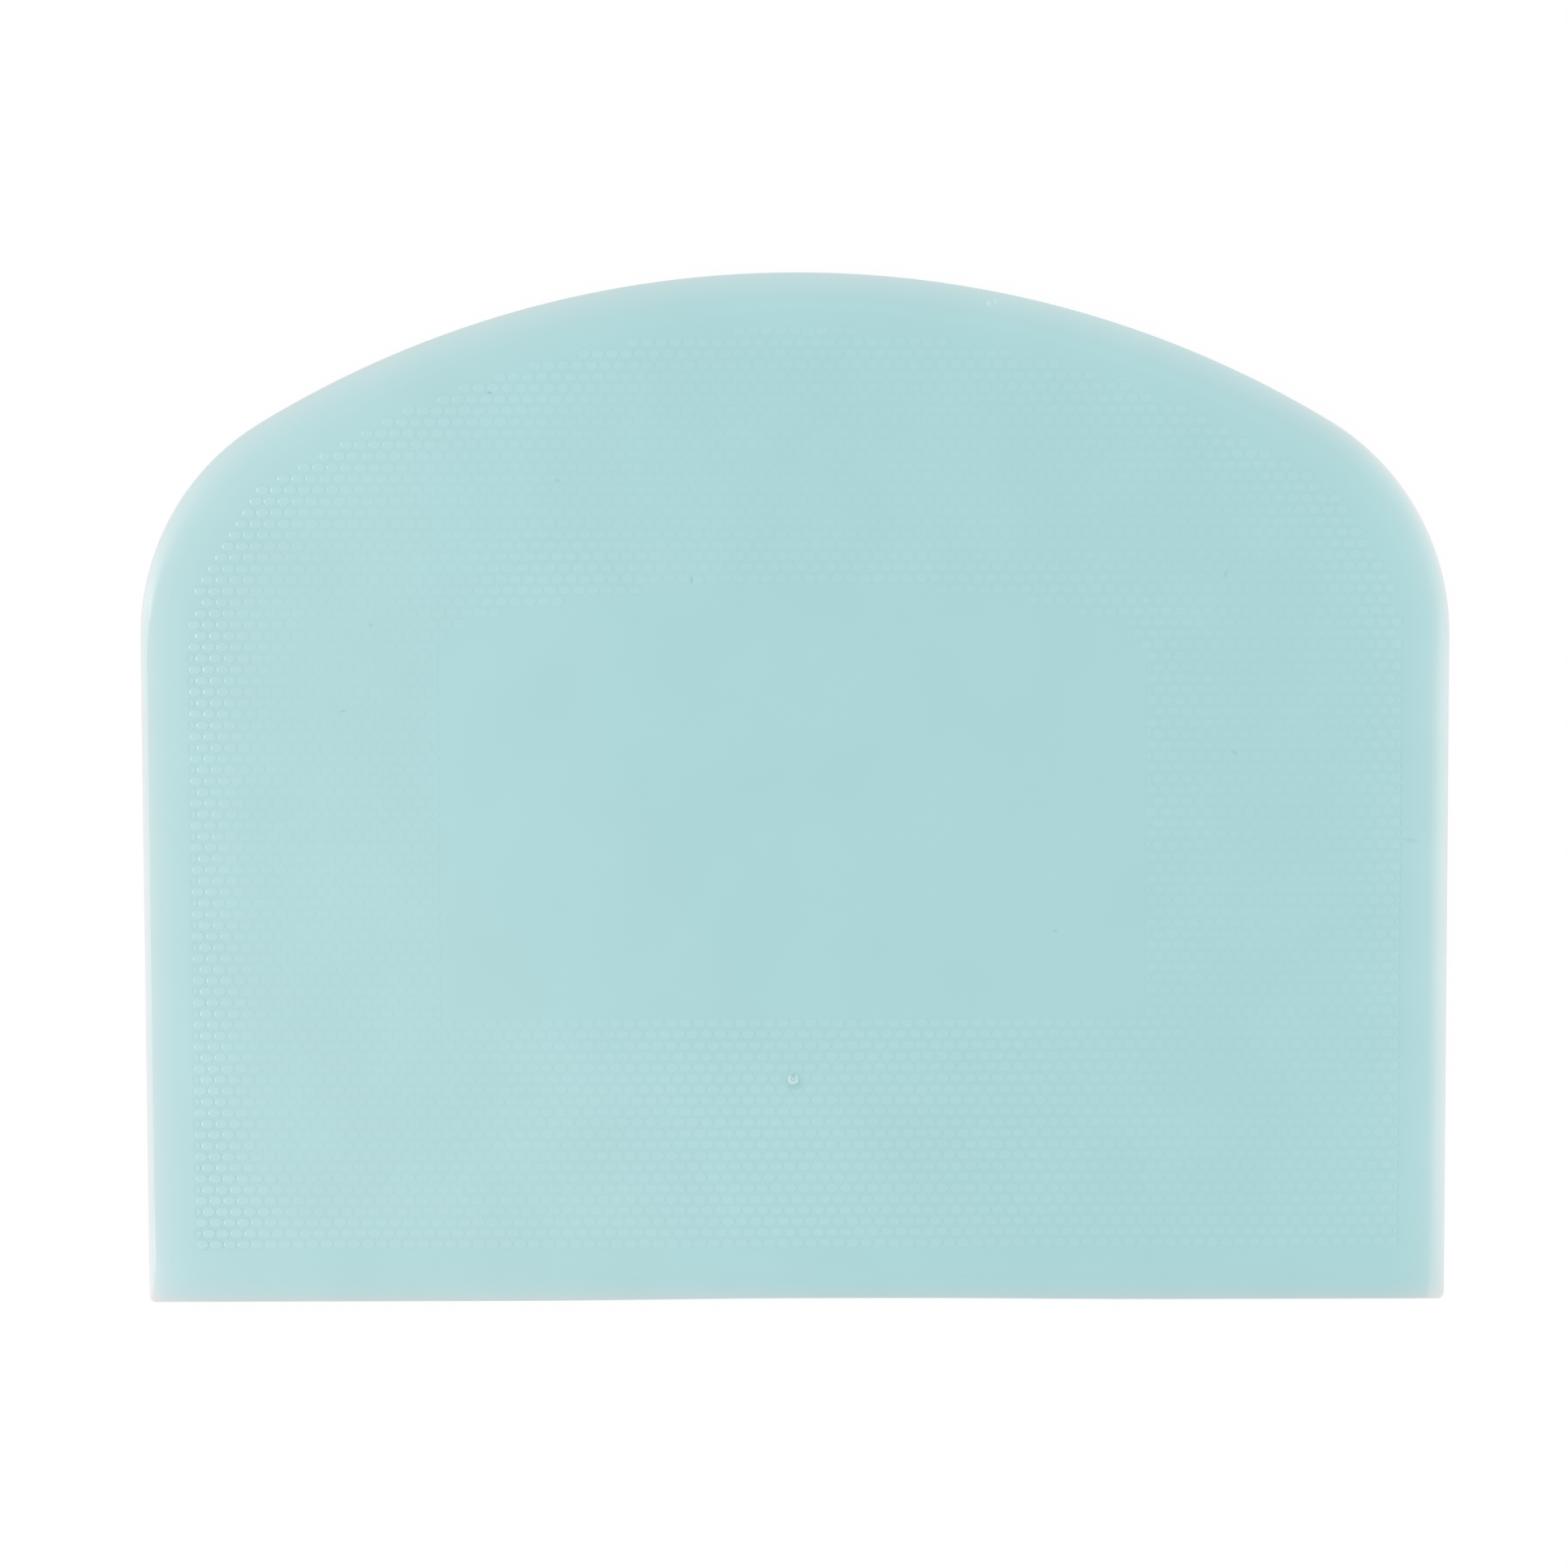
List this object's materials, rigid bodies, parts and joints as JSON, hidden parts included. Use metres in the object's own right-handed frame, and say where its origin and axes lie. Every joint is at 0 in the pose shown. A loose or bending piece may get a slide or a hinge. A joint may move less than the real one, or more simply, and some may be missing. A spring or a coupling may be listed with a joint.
{
  "type": "bowl scraper",
  "caption": "Flat D-shaped kitchen scraper with an arched edge and a straight edge, a soft silicone blade moulded over a stiff inner plate, and bead-textured grip faces.",
  "frame": {"origin": "under the middle of the blade, on the plane that it lies on", "axes": "+X along the straight base, +Y from the base to the crown of the arch, +Z out of the front face"},
  "size_m": [0.1206, 0.0952, 0.0025],
  "materials": {
    "aqua_silicone": "satin, pale aqua, paler where it thins at the rim",
    "natural_nylon": "plain moulded, uncoloured"
  },
  "bodies": {
    "root": {"silicone_blade": "aqua_silicone", "core_plate": "natural_nylon"}
  },
  "joints": []
}
